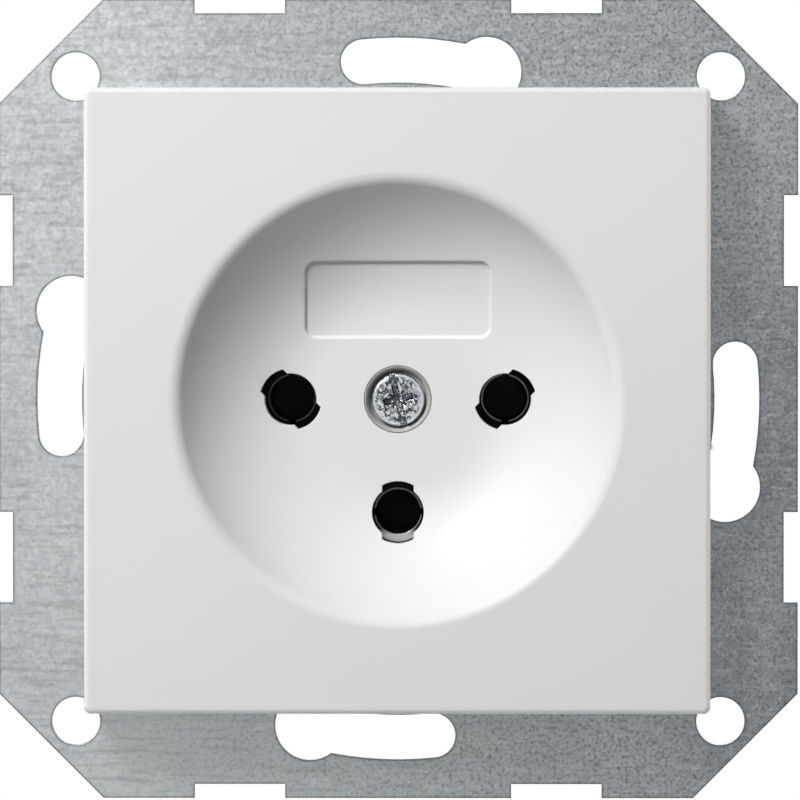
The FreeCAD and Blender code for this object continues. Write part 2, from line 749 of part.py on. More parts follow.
# Cover screw with a rounded flat head, slot and cross recess
screw = new_body("cover_screw")
head_r, edge = S.screw_head_r, S.screw_head_round
head_top = seat_y - S.screw_head
sk = sketch(screw, "XY", "screw_profile")
path(sk, [
    (0, head_top), (head_r - edge, head_top),
    (head_r, head_top + edge, on_arc(head_r - edge, head_top + edge, edge, 135)),
    (head_r, seat_y), (S.screw_r, seat_y), (S.screw_r, S.screw_end - 0.5),
    (S.screw_r - 0.5, S.screw_end), (0, S.screw_end),
])
turn(screw, "Revolution", sk, "screw_turned")


def drive(body, name, x, z, top_y, degrees, cuts):
    # Recesses cut into a head that faces -Y, as crossing bars (length, width, depth)
    for k, (length, width, depth, extra) in enumerate(cuts):
        sk = body.newObject("Sketcher::SketchObject", "%s_bar_%d" % (name, k))
        sk.AttachmentSupport = [(origin(body, "XZ_Plane"), "")]
        sk.MapMode = "FlatFace"
        sk.AttachmentOffset = FreeCAD.Placement(V(0, 0, -top_y), FreeCAD.Rotation())
        u = polar(length / 2, degrees + extra)
        w = polar(width / 2, degrees + extra + 90)
        path(sk, [(x + u[0] + w[0], z + u[1] + w[1]), (x - u[0] + w[0], z - u[1] + w[1]),
                  (x - u[0] - w[0], z - u[1] - w[1]), (x + u[0] - w[0], z + u[1] - w[1])])
        cut = body.newObject("PartDesign::Pocket", "%s_cut_%d" % (name, k))
        cut.Profile = sk
        cut.Length = depth


drive(screw, "cross_slot", 0, 0, head_top, 104, [
    (2 * S.screw_head_r + 0.2, 0.7, 0.5, 0), (2.9, 0.85, 0.9, 0), (2.9, 0.85, 0.9, 90)])
doc.recompute()

nut = new_body("centre_nut")
sk = sketch(nut, "XZ", "nut_square", "-(recess_depth + nut_thick)")
rectangle(sk, -S.nut_side / 2, -S.nut_side / 2, S.nut_side / 2, S.nut_side / 2)
circle(sk, 0, 0, S.screw_r + S.running)
pad(nut, sk, "nut_pad", "nut_thick")


# Tubular rivets through the frame and the base
def rivet(x, z):
    r, b, hr = S.rivet_r, S.rivet_bore_r, S.rivet_head_r
    y0, y1 = -S.frame_thick, S.base_depth
    k = S.rivet_head
    wire = Part.makePolygon([V(b, y0 - k, 0), V(hr - k, y0 - k, 0), V(hr, y0, 0), V(r, y0, 0), V(r, y1, 0),
                             V(hr, y1, 0), V(hr - k, y1 + k, 0), V(b, y1 + k, 0), V(b, y0 - k, 0)])
    solid = Part.Face(wire).revolve(V(0, 0, 0), V(0, 1, 0), 360)
    solid.translate(V(x, 0, z))
    return solid


rivets = doc.addObject("Part::Feature", "frame_rivets")
rivets.Label = "frame_rivets"
rivets.Shape = Part.makeCompound([rivet(S.rivet_x, S.rivet_z), rivet(-S.rivet_x, -S.rivet_z)])

# Earth strap, bent from the back of the frame down to the earth tab
strap = new_body("earth_strap")
sk = sketch(strap, "YZ", "strap_profile", "-strap_half")
t = S.strap_thick
leg = chamber_floor - S.tab_length + 1.8
face = -S.tab_face
path(sk, [(0, -S.strap_out), (t, -S.strap_out), (t, face - t), (leg, face - t), (leg, face), (0, face)])
pad(strap, sk, "strap_pad", "2 * strap_half")


# Claws, hung in the frame's ears, with their screws and nuts
def claw(name, side):
    a = math.radians(S.claw_rest_angle)
    px, py = S.claw_pivot_x, S.claw_pivot_y

    def at(u, v):
        # u runs along the arm to the rear and v outwards
        return (side * (px + u * math.sin(a) + v * math.cos(a)), py + u * math.cos(a) - v * math.sin(a))
    body = new_body(name + "_claw")
    w, arm, back = S.sheet, S.base_depth - S.claw_nut_inset, S.cheek_back
    half = "(cheek_inner + sheet)"
    # Cheeks with a round pivot end
    sk = sketch(body, "XY", name + "_cheeks", "-" + half)
    path(sk, [at(arm - w, 0), at(arm - w, w), at(back, w), at(0, back) + (at(back * 0.62, back * 0.93),),
              at(0, -back) + (at(-back, 0),), at(arm * 0.55, -back), at(arm - w, -back * 0.4)])
    pad(body, sk, name + "_cheek_pad", "2 * " + half)
    sk = sketch(body, "XY", name + "_channel", "-cheek_inner")
    path(sk, [at(-back - 1, 0), at(arm + 1, 0), at(arm + 1, -back - 1), at(-back - 1, -back - 1)])
    pocket(body, sk, name + "_channel_cut", "2 * cheek_inner", True)
    # Tip bent outwards, wider than the arm
    sk = sketch(body, "XY", name + "_tip", "-claw_tip_half")
    path(sk, [at(arm - w, 0), at(arm, 0), at(arm, S.claw_tooth_reach), at(arm - w, S.claw_tooth_reach)])
    pad(body, sk, name + "_tip_pad", "2 * claw_tip_half")
    # The slot that the screw passes through, and the front of the web opened between the cheeks
    y_end = py + (arm - S.claw_slot_short) * math.cos(a)
    sk = sketch(body, "YZ", name + "_slot", "%d * claw_pivot_x * 0.8" % side)
    h = S.claw_slot_half
    path(sk, [(-3, -h), (y_end - h, -h), (y_end - h, h, (y_end, 0)), (-3, h)])
    pocket(body, sk, name + "_slot_cut", "claw_pivot_x * 0.6", side > 0)
    sk = sketch(body, "YZ", name + "_mouth", "%d * claw_pivot_x * 0.8" % side)
    rectangle(sk, -3, -S.cheek_inner, py + 3, S.cheek_inner)
    pocket(body, sk, name + "_mouth_cut", "claw_pivot_x * 0.6", side > 0)
    # Teeth, cut as notches along the outer edge of the tip
    sk = body.newObject("Sketcher::SketchObject", name + "_teeth")
    sk.AttachmentSupport = [(origin(body, "XZ_Plane"), "")]
    sk.MapMode = "FlatFace"
    outer = at(arm, S.claw_tooth_reach)[0] * side + 1
    inner = at(arm, S.claw_tooth_reach)[0] * side - S.claw_tooth
    count = 5
    step = 2 * S.claw_tip_half / count
    for k in range(count):
        z0 = -S.claw_tip_half + k * step + step * 0.08
        z1 = z0 + step * 0.84
        path(sk, [(side * outer, z0 - 0.3), (side * inner, (z0 + z1) / 2), (side * outer, z1 + 0.3)]
             if side > 0 else
             [(side * outer, z1 + 0.3), (side * inner, (z0 + z1) / 2), (side * outer, z0 - 0.3)])
    cut = body.newObject("PartDesign::Pocket", name + "_teeth_cut")
    cut.Profile = sk
    link(cut, "Length", "base_depth + 4")
    # Trunnions that turn in the ears
    for way, word in ((1, "upper"), (-1, "lower")):
        sk = sketch(body, "XY", "%s_%s_trunnion" % (name, word), ("" if way > 0 else "-") + half)
        circle(sk, side * px, py, S.trunnion_r)
        pad(body, sk, "%s_%s_trunnion_pad" % (name, word), "ear_gap + frame_thick", way < 0)
    return body


for name, side in SIDES:
    claw(name, side)
    x = side * S.claw_screw_x
    body = new_body(name + "_claw_screw")
    sk = sketch(body, "XZ", name + "_claw_shank", "-(base_depth - claw_screw_short)")
    circle(sk, x, 0, S.screw_r)
    pad(body, sk, name + "_claw_shank_pad", "base_depth - claw_screw_short + frame_thick")
    sk = sketch(body, "XZ", name + "_claw_head", "frame_thick")
    circle(sk, x, 0, S.claw_head_r)
    pad(body, sk, name + "_claw_head_pad", "claw_head")
    drive(body, name + "_drive", x, 0, -S.frame_thick - S.claw_head, 90, [
        (2 * S.claw_head_r + 1, 0.8, 0.9, 0)])
    body = new_body(name + "_claw_nut")
    sk = sketch(body, "XZ", name + "_claw_nut_block", "-(base_depth - claw_nut_inset + claw_nut_thick)")
    h = S.claw_nut_half
    rectangle(sk, side * (S.claw_bay_x + S.fit_gap), -h, side * S.claw_nut_face, h)
    circle(sk, x, 0, S.screw_r + S.running)
    pad(body, sk, name + "_claw_nut_pad", "claw_nut_thick")
doc.recompute()

# Every object must be sound, then each sub-part goes to its own file
for item in doc.Objects:
    if "Invalid" in item.State or "Error" in item.State:
        raise RuntimeError("%s is %s" % (item.Name, item.State))
os.makedirs("parts", exist_ok=True)
for item in doc.Objects:
    if item.TypeId in ("PartDesign::Body", "Part::Feature") and item.getParentGeoFeatureGroup() is None:
        shape = item.Shape
        if shape.isNull() or not shape.isValid() or not shape.Solids:
            raise RuntimeError("%s has no sound solid" % item.Label)
        shape.exportStep("parts/%s.step" % item.Label)
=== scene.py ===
import bpy
import math
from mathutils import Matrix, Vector


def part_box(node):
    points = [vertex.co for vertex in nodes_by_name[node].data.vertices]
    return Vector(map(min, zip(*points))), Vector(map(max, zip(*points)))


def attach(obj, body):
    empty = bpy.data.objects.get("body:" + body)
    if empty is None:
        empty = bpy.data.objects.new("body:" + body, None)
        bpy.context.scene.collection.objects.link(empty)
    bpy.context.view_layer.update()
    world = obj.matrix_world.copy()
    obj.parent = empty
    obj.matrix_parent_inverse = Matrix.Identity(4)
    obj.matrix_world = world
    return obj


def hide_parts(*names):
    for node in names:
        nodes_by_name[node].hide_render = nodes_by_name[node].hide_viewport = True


# Flush wall socket insert: finishes, detailed fasteners, studio and camera.
# Metres, X to the right, Z up, the front of the cover faces -Y.

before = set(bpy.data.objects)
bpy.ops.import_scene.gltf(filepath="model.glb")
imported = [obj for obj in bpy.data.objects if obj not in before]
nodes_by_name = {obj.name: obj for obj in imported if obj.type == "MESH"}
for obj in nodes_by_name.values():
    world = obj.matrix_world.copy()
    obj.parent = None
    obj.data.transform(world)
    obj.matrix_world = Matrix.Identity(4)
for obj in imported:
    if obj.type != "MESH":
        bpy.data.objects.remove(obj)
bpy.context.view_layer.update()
MM = 0.001
QUARTER = math.pi / 2

# Sockets of a colour mix
MIX_FIRST_COLOUR, MIX_SECOND_COLOUR, MIX_COLOUR_RESULT = 6, 7, 2


def add_node(nodes, kind, **settings):
    # Settings that name a socket give its value, the others are the node's own
    node = nodes.new(kind)
    for key, value in settings.items():
        if key in node.inputs:
            node.inputs[key].default_value = value
        else:
            setattr(node, key, value)
    return node


def set_range(node, low, high, out_low, out_high):
    for key, number in (("From Min", low), ("From Max", high), ("To Min", out_low), ("To Max", out_high)):
        node.inputs[key].default_value = number


# Finishes
class Finish:
    """One surface finish, built up from layers that read the object's own coordinates."""

    def __init__(self, name, colour, roughness, metallic=0.0, specular=0.5):
        self.material = bpy.data.materials.new(name)
        self.material.use_nodes = True
        self.nodes = self.material.node_tree.nodes
        self.links = self.material.node_tree.links
        self.shader = self.nodes["Principled BSDF"]
        self.shader.inputs["Metallic"].default_value = metallic
        self.shader.inputs["Specular IOR Level"].default_value = specular
        self.shader.inputs["Roughness"].default_value = roughness
        self.shader.inputs["Base Color"].default_value = (*colour, 1)
        self.place = self.nodes.new("ShaderNodeTexCoord").outputs["Object"]
        self.base = colour
        self.colour = None
        self.bump = None

    def add(self, kind, **settings):
        return add_node(self.nodes, kind, **settings)

    def stretched(self, stretch):
        if stretch == (1, 1, 1):
            return self.place
        mapping = self.add("ShaderNodeMapping", Scale=stretch)
        self.links.new(self.place, mapping.inputs["Vector"])
        return mapping.outputs["Vector"]

    def noise(self, size, detail, stretch=(1, 1, 1)):
        # size is the width of one patch, in metres
        node = self.add("ShaderNodeTexNoise", Scale=1 / size, Detail=detail)
        self.links.new(self.stretched(stretch), node.inputs["Vector"])
        return node.outputs["Fac"]

    def ramp(self, value, low, high, out_low=0.0, out_high=1.0):
        node = self.add("ShaderNodeMapRange", clamp=True)
        set_range(node, low, high, out_low, out_high)
        self.links.new(value, node.inputs["Value"])
        return node.outputs["Result"]

    def patches(self, size, detail, low, high, most, stretch=(1, 1, 1)):
        # Nothing where the noise is under low, up to most where it is over high
        return self.ramp(self.noise(size, detail, stretch), low, high, 0.0, most)

    def along(self, axis, low, high, out_low=0.0, out_high=1.0):
        # A steady change from one place to another along an axis of the object
        split = self.add("ShaderNodeSeparateXYZ")
        self.links.new(self.place, split.inputs[0])
        return self.ramp(split.outputs[axis], low, high, out_low, out_high)

    def around(self, x, z, low, high):
        # A steady change with the distance from an axis that runs front to back
        node = self.add("ShaderNodeVectorMath", operation="MULTIPLY_ADD")
        node.inputs[1].default_value = (1, 0, 1)
        node.inputs[2].default_value = (-x, 0, -z)
        self.links.new(self.place, node.inputs[0])
        reach = self.add("ShaderNodeVectorMath", operation="LENGTH")
        self.links.new(node.outputs["Vector"], reach.inputs[0])
        return self.ramp(reach.outputs["Value"], low, high)

    def product(self, a, b):
        node = self.add("ShaderNodeMath", operation="MULTIPLY")
        self.links.new(a, node.inputs[0])
        self.links.new(b, node.inputs[1])
        return node.outputs[0]

    def tint(self, value, colour):
        # Lays colour over the finish where value is 1
        node = self.add("ShaderNodeMix", data_type="RGBA", blend_type="MIX")
        if self.colour is None:
            node.inputs[MIX_FIRST_COLOUR].default_value = (*self.base, 1)
        else:
            self.links.new(self.colour, node.inputs[MIX_FIRST_COLOUR])
        node.inputs[MIX_SECOND_COLOUR].default_value = (*colour, 1)
        self.links.new(value, node.inputs["Factor"])
        self.colour = node.outputs[MIX_COLOUR_RESULT]
        self.links.new(self.colour, self.shader.inputs["Base Color"])

    def roughen(self, size, detail, smoothest, roughest):
        value = self.ramp(self.noise(size, detail), 0.3, 0.7, smoothest, roughest)
        self.links.new(value, self.shader.inputs["Roughness"])

    def soften(self, radius):
        # Edges broken by a small radius, under the rest of the relief
        node = self.add("ShaderNodeBevel", samples=6, Radius=radius)
        self.bump = node.outputs["Normal"]
        self.links.new(self.bump, self.shader.inputs["Normal"])

    def raise_by(self, size, detail, height, strength, stretch=(1, 1, 1)):
        # Fine relief over the softened edges
        node = self.add("ShaderNodeBump", Strength=strength, Distance=height)
        self.links.new(self.noise(size, detail, stretch), node.inputs["Height"])
        if self.bump:
            self.links.new(self.bump, node.inputs["Normal"])
        self.bump = node.outputs["Normal"]
        self.links.new(self.bump, self.shader.inputs["Normal"])

    def edges(self, radius, low=0.55, high=0.98):
        # 1 along sharp edges, 0 on flats
        bevel = self.add("ShaderNodeBevel", samples=6, Radius=radius)
        plain = self.add("ShaderNodeNewGeometry")
        dot = self.add("ShaderNodeVectorMath", operation="DOT_PRODUCT")
        self.links.new(bevel.outputs["Normal"], dot.inputs[0])
        self.links.new(plain.outputs["Normal"], dot.inputs[1])
        return self.ramp(dot.outputs["Value"], low, high, 1.0, 0.0)


def cover_white():
    f = Finish("cover_white", (0.71, 0.70, 0.69), 0.46, specular=0.35)
    f.soften(0.12 * MM)
    f.tint(f.patches(26 * MM, 2.0, 0.35, 0.7, 0.5), (0.72, 0.71, 0.702))
    f.tint(f.patches(0.35 * MM, 2.0, 0.70, 0.85, 0.25), (0.62, 0.61, 0.59))
    f.roughen(4 * MM, 5.0, 0.42, 0.52)
    f.raise_by(0.22 * MM, 3.0, 0.004 * MM, 0.6)
    return f.material


def base_grey(name="base_grey", colour=(0.55, 0.56, 0.55)):
    f = Finish(name, colour, 0.55)
    f.soften(0.15 * MM)
    f.tint(f.patches(9 * MM, 3.0, 0.35, 0.7, 0.6), tuple(c * 0.93 for c in colour))
    f.tint(f.patches(0.3 * MM, 3.0, 0.62, 0.8, 0.35), tuple(c * 0.75 for c in colour))
    f.tint(f.edges(0.25 * MM), tuple(min(1, c * 1.12) for c in colour))
    f.roughen(2 * MM, 4.0, 0.48, 0.62)
    f.raise_by(0.25 * MM, 4.0, 0.012 * MM, 0.8)
    return f.material


def ring_grey():
    # Painted light: paler down its cone than on its lip, lifting the shade deep in the cone
    f = Finish("ring_grey", (0.37, 0.37, 0.37), 0.55)
    f.soften(0.06 * MM)
    f.tint(f.along("Y", -3.0 * MM, -2.7 * MM), (0.50, 0.50, 0.495))
    f.tint(f.patches(0.3 * MM, 3.0, 0.62, 0.8, 0.35), (0.25, 0.25, 0.25))
    f.roughen(2 * MM, 4.0, 0.62, 0.74)
    f.raise_by(0.25 * MM, 4.0, 0.01 * MM, 0.8)
    return f.material


def plate_black():
    f = Finish("plate_black", (0.012, 0.011, 0.012), 0.42)
    f.soften(0.12 * MM)
    f.tint(f.patches(0.4 * MM, 3.0, 0.55, 0.8, 0.5), (0.03, 0.028, 0.03))
    f.roughen(2 * MM, 4.0, 0.36, 0.5)
    f.raise_by(0.3 * MM, 4.0, 0.01 * MM, 0.8)
    return f.material


def galvanised():
    f = Finish("galvanised_sheet", (0.60, 0.63, 0.64), 0.32, metallic=1.0)
    f.soften(0.10 * MM)
    # Painted shade: darker from left to right, as the lamps' reflection fades across the sheet, and darkest
    # low on the right side
    f.tint(f.along("X", -31 * MM, 12 * MM, 0.0, 0.9), (0.345, 0.38, 0.385))
    painted_shade_right = f.along("X", 23 * MM, 30 * MM)
    f.tint(f.product(painted_shade_right, f.along("Z", 20 * MM, 4 * MM, 0.1, 0.85)), (0.20, 0.22, 0.24))
    # Broad clouds, then mottled patches, dark specks and bright grains that grow stronger to the right
    f.tint(f.patches(9 * MM, 2.0, 0.45, 0.68, 0.30), (0.46, 0.465, 0.52))
    stronger_to_right = f.along("X", -24 * MM, 20 * MM, 0.28, 1.0)
    f.tint(f.product(stronger_to_right, f.patches(1.0 * MM, 3.0, 0.42, 0.62, 0.24)), (0.58, 0.60, 0.63))
    f.tint(f.product(stronger_to_right, f.patches(0.32 * MM, 3.0, 0.47, 0.68, 0.80)), (0.14, 0.155, 0.17))
    f.tint(f.product(stronger_to_right, f.patches(0.26 * MM, 1.0, 0.58, 0.74, 0.40)), (0.66, 0.69, 0.72))
    # Rolling marks that run across the sheet
    f.tint(f.patches(0.45 * MM, 4.0, 0.50, 0.66, 0.34, (0.10, 1, 1)), (0.27, 0.295, 0.30))
    f.tint(f.patches(0.42 * MM, 3.0, 0.56, 0.72, 0.20, (0.20, 1, 1)), (0.72, 0.75, 0.76))
    # Painted shade: a dark line along the sheet's edges, where the rolled edges turn away from the light
    f.tint(f.edges(0.45 * MM, 0.80, 0.985), (0.07, 0.075, 0.08))
    f.roughen(0.6 * MM, 5.0, 0.28, 0.38)
    f.raise_by(0.40 * MM, 3.0, 0.022 * MM, 0.6)
    f.raise_by(1.3 * MM, 2.0, 0.022 * MM, 0.3)
    return f.material


def bright_zinc(name, colour, rough):
    f = Finish(name, colour, 0.25, metallic=1.0)
    f.soften(0.08 * MM)
    f.tint(f.patches(0.5 * MM, 4.0, 0.52, 0.72, 0.6), tuple(c * 0.72 for c in colour))
    f.tint(f.patches(0.16 * MM, 3.0, 0.60, 0.74, 0.7), (0.22, 0.24, 0.27))
    f.roughen(0.3 * MM, 4.0, *rough)
    f.raise_by(0.20 * MM, 3.0, 0.02 * MM, 0.8)
    return f.material


def contact_brass(pole, pin_x, pin_z, glint_strength):
    f = Finish(pole + "_contact_metal", (0.56, 0.50, 0.38), 0.28, metallic=1.0)
    f.soften(0.08 * MM)
    f.tint(f.patches(3 * MM, 4.0, 0.4, 0.7, 0.6), (0.50, 0.41, 0.25))
    f.tint(f.patches(0.5 * MM, 4.0, 0.58, 0.8, 0.5), (0.34, 0.28, 0.18))
    # Painted shade: the sleeve is painted near black, as it lies deep in the hole's shade, and a painted
    # glint runs round its mouth
    f.tint(f.around(pin_x, pin_z, 3.3 * MM, 2.9 * MM), (0.008, 0.007, 0.007))
    # Its lower lip catches light at the earth pin only
    if pole == "earth":
        f.tint(f.along("Z", -11.5 * MM, -12.1 * MM, 0.0, 0.9), (0.64, 0.62, 0.61))
    # Painted glint: a thin pale ring at the mouth's edge, fading with depth
    mouth = f.product(f.around(pin_x, pin_z, 1.99 * MM, 2.02 * MM),
                      f.around(pin_x, pin_z, 2.15 * MM, 2.10 * MM))
    f.tint(f.product(mouth, f.along("Y", 6 * MM, 4.6 * MM, 0.0, glint_strength)), (0.52, 0.50, 0.49))
    f.roughen(0.8 * MM, 4.0, 0.26, 0.42)
    f.raise_by(1.2 * MM, 4.0, 0.006 * MM, 0.5, (0.3, 1, 4.0))
    return f.material


def screw_head_zinc(front):
    # Bright zinc with dark blotches inside the polished rim, and painted shade in the drive
    f = Finish("cover_screw_zinc", (0.80, 0.83, 0.87), 0.22, metallic=1.0)
    f.soften(0.08 * MM)
    inside = f.around(0, 0, 2.15 * MM, 1.85 * MM)
    f.tint(f.product(inside, f.patches(0.55 * MM, 2.0, 0.46, 0.54, 0.80)), (0.15, 0.17, 0.20))
    f.tint(f.product(inside, f.patches(0.42 * MM, 1.0, 0.50, 0.56, 0.90)), (0.02, 0.025, 0.035))
    # Painted shade: darker below the head's face, down in the drive
    f.tint(f.along("Y", front + 0.08 * MM, front + 0.35 * MM, 0.0, 0.85), (0.06, 0.065, 0.08))
    f.tint(f.patches(0.26 * MM, 1.0, 0.58, 0.64, 0.8), (0.87, 0.90, 0.94))
    f.roughen(0.3 * MM, 4.0, 0.12, 0.30)
    f.raise_by(0.30 * MM, 2.0, 0.05 * MM, 0.9)
    return f.material


def spring_blue():
    f = Finish("spring_steel", (0.20, 0.21, 0.23), 0.30, metallic=1.0)
    f.soften(0.08 * MM)
    f.tint(f.patches(1.5 * MM, 4.0, 0.45, 0.7, 0.7), (0.12, 0.13, 0.17))
    f.roughen(0.6 * MM, 4.0, 0.24, 0.42)
    f.raise_by(0.3 * MM, 3.0, 0.008 * MM, 0.6)
    return f.material


def tinned_bronze():
    f = Finish("strap_metal", (0.62, 0.58, 0.52), 0.34, metallic=1.0)
    f.soften(0.08 * MM)
    f.tint(f.patches(2 * MM, 4.0, 0.45, 0.7, 0.7), (0.52, 0.44, 0.33))
    f.roughen(0.8 * MM, 4.0, 0.26, 0.44)
    f.raise_by(1.5 * MM, 4.0, 0.006 * MM, 0.5, (4.0, 1, 0.4))
    return f.material


small_zinc = bright_zinc("small_zinc", (0.62, 0.64, 0.66), (0.24, 0.42))
FINISHES = {
    "cover": cover_white(),
    "base": base_grey(),
    "rear_cover": base_grey("rear_grey", (0.52, 0.53, 0.525)),
    "contact_plate": plate_black(),
    "support_frame": galvanised(),
    "screw_ring": ring_grey(),
    "cover_screw": screw_head_zinc(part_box("cover_screw")[0][1]),
    "centre_nut": small_zinc,
    "frame_rivets": bright_zinc("rivet_zinc", (0.58, 0.59, 0.60), (0.28, 0.44)),
    "earth_strap": tinned_bronze(),
}
spring_metal = spring_blue()
clamp_zinc = bright_zinc("clamp_zinc", (0.58, 0.60, 0.62), (0.28, 0.46))
terminal_zinc = bright_zinc("terminal_screw_zinc", (0.66, 0.68, 0.70), (0.22, 0.40))
claw_zinc = bright_zinc("claw_zinc", (0.54, 0.56, 0.58), (0.32, 0.50))
claw_screw_zinc = bright_zinc("claw_screw_zinc", (0.66, 0.68, 0.70), (0.20, 0.38))
claw_nut_zinc = bright_zinc("claw_nut_zinc", (0.56, 0.58, 0.60), (0.30, 0.46))
# Pole, place of its pin, and how bright the painted glint round the sleeve's mouth is
PINS = (("live", -9.5 * MM, 0, 0.18), ("neutral", 9.5 * MM, 0, 0.45), ("earth", 0, -10 * MM, 0.28))
for pole, pin_x, pin_z, glint_strength in PINS:
    FINISHES[pole + "_contact"] = contact_brass(pole, pin_x, pin_z, glint_strength)
    FINISHES[pole + "_spring"] = spring_metal
    FINISHES[pole + "_clamp"] = clamp_zinc
    FINISHES[pole + "_terminal_screw"] = terminal_zinc
for side in ("right", "left"):
    FINISHES[side + "_claw"] = claw_zinc
    FINISHES[side + "_claw_screw"] = claw_screw_zinc
    FINISHES[side + "_claw_nut"] = claw_nut_zinc
for name, material in FINISHES.items():
    for slot in nodes_by_name[name].material_slots:
        slot.material = material


# Detailed fasteners that stand for the plain ones, modelled in millimetres and then brought to size

def start_clean():
    if bpy.context.object and bpy.context.object.mode != "OBJECT":
        bpy.ops.object.mode_set(mode="OBJECT")
    bpy.ops.object.select_all(action="DESELECT")


def pick(piece, kind, test):
    # Selects in edit mode the vertices, edges or faces that the test accepts
    bpy.ops.object.mode_set(mode="EDIT")
    bpy.ops.mesh.select_mode(type=kind)
    bpy.ops.mesh.select_all(action="DESELECT")
    bpy.ops.object.mode_set(mode="OBJECT")
    mesh = piece.data
    items = {"VERT": mesh.vertices, "EDGE": mesh.edges, "FACE": mesh.polygons}[kind]
    for item in items:
        item.select = test(mesh, item)
    bpy.ops.object.mode_set(mode="EDIT")


def apply_modifier(piece, kind, name, **settings):
    modifier = piece.modifiers.new(name, kind)
    for key, value in settings.items():
        setattr(modifier, key, value)
    bpy.context.view_layer.objects.active = piece
    bpy.ops.object.modifier_apply(modifier=name)


def drive_bar(length, width, depth, top, turn, taper):
    # A bar that cuts one groove of the drive, narrower at its bottom
    start_clean()
    bpy.ops.mesh.primitive_cube_add(size=1, scale=(length, width, 2 * depth), location=(0, 0, top))
    bar = bpy.context.active_object
    bpy.ops.object.transform_apply(location=True, rotation=True, scale=True)
    pick(bar, "VERT", lambda mesh, v: v.co.z < top)
    bpy.ops.transform.resize(value=taper, center_override=(0, 0, top - depth))
    bpy.ops.object.mode_set(mode="OBJECT")
    bar.rotation_euler = (0, 0, turn)
    bpy.ops.object.transform_apply(location=False, rotation=True, scale=False)
    return bar


def thread(radius, pitch, depth, low, high):
    # One pitch of the profile, wound up from low to high
    turns = int((high - low) / pitch)
    steps = 28
    middle = low + pitch / 2
    half_crest = pitch * 0.15
    start_clean()
    bpy.ops.mesh.primitive_plane_add(size=pitch, rotation=(0, QUARTER, 0))
    coil = bpy.context.active_object
    bpy.ops.object.transform_apply(location=True, rotation=True, scale=True)
    pick(coil, "VERT", lambda mesh, v: v.co.y > 0)
    bpy.ops.mesh.delete(type="VERT")
    bpy.ops.mesh.select_all(action="SELECT")
    bpy.ops.transform.translate(value=(radius - depth, pitch / 2, middle))
    bpy.ops.mesh.subdivide(number_cuts=4)
    pick(coil, "VERT", lambda mesh, v: abs(v.co.z - middle) < half_crest)
    bpy.ops.transform.translate(value=(depth, 0, 0))
    bpy.ops.object.mode_set(mode="OBJECT")
    apply_modifier(coil, "SCREW", "wound", axis="Z", angle=2 * math.pi, screw_offset=pitch,
                   iterations=turns, steps=steps, render_steps=steps, use_merge_vertices=True,
                   merge_threshold=0.001)
    pick(coil, "VERT", lambda mesh, v: True)
    bpy.ops.mesh.fill_holes(sides=0)
    bpy.ops.mesh.normals_make_consistent(inside=False)
    bpy.ops.object.mode_set(mode="OBJECT")
    return coil


def machine_screw(name, head, shank, pitch, grooves):
    # Head up and seat at zero: head is (radius, height, edge), shank is (radius, length),
    # each groove is (length, width, depth, turn, taper)
    head_r, height, edge = head
    shank_r, length = shank
    thread_depth = pitch * 0.5
    # The core lies a little under the root of the thread, which stops short of the point and the seat
    core = shank_r - thread_depth - 0.04
    point, run_out = 0.3, 0.25
    start_clean()
    bpy.ops.mesh.primitive_cylinder_add(vertices=72, radius=head_r, depth=height, location=(0, 0, height / 2))
    piece = bpy.context.active_object
    bpy.ops.object.transform_apply(location=True, rotation=True, scale=True)
    pick(piece, "EDGE", lambda mesh, e: all(mesh.vertices[i].co.z > height - 0.01 for i in e.vertices))
    bpy.ops.mesh.bevel(offset=edge, segments=5, affect="EDGES")
    pick(piece, "FACE", lambda mesh, p: p.normal.z < -0.9)
    bpy.ops.mesh.inset(thickness=head_r - core, depth=0)
    for step in (point - length, -point):
        bpy.ops.mesh.extrude_region_move(TRANSFORM_OT_translate={"value": (0, 0, step)})
    bpy.ops.transform.resize(value=(0.72, 0.72, 1), center_override=(0, 0, -length))
    bpy.ops.object.mode_set(mode="OBJECT")
    for groove_length, width, depth, turn, taper in grooves:
        bar = drive_bar(groove_length, width, depth, height, turn, taper)
        apply_modifier(piece, "BOOLEAN", "groove", operation="DIFFERENCE", object=bar, solver="EXACT")
        bpy.data.objects.remove(bar)
    apply_modifier(piece, "BEVEL", "worn_edges", width=0.05, segments=2, limit_method="ANGLE",
                   angle_limit=math.radians(38))
    coil = thread(shank_r, pitch, thread_depth, point - length, -run_out)
    start_clean()
    coil.select_set(True)
    piece.select_set(True)
    bpy.context.view_layer.objects.active = piece
    bpy.ops.object.join()
    bpy.ops.object.shade_smooth_by_angle(angle=math.radians(32))
    piece.name = name
    return piece


def set_down(piece, place, turn, material, node, body):
    # From millimetres, head up, to its place on the object
    piece.scale = (MM, MM, MM)
    piece.rotation_euler = turn
    piece.location = place
    start_clean()
    piece.select_set(True)
    bpy.context.view_layer.objects.active = piece
    bpy.ops.object.transform_apply(location=True, rotation=True, scale=True)
    piece.data.materials.clear()
    piece.data.materials.append(material)
    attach(piece, body)
    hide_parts(node)


FACE_FRONT = (QUARTER, 0, 0)
SLOT_TAPER = (1, 0.95, 1)
CROSS_TAPER = (0.75, 0.45, 1)

# Cover screw: slot, cross and four short rays, all turned a little
screw_low, screw_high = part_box("cover_screw")
head_height = 1.0
shank_length = (screw_high[1] - screw_low[1]) / MM - head_height
lean = math.radians(14)
cross = [(3.1, 0.85, 0.92, turn, CROSS_TAPER) for turn in (lean, QUARTER + lean)]
rays = [(2.3, 0.34, 0.5, turn, (0.6, 0.5, 1)) for turn in (lean + QUARTER / 2, lean - QUARTER / 2)]
piece = machine_screw("cover_screw_cut", (2.35, head_height, 0.35), (1.5, shank_length), 0.5,
                      [(5.2, 0.62, 0.5, QUARTER + lean, (1, 0.9, 1)), *cross, *rays])
set_down(piece, (0, screw_low[1] + head_height * MM, 0), FACE_FRONT,
         FINISHES["cover_screw"], "cover_screw", "insert")

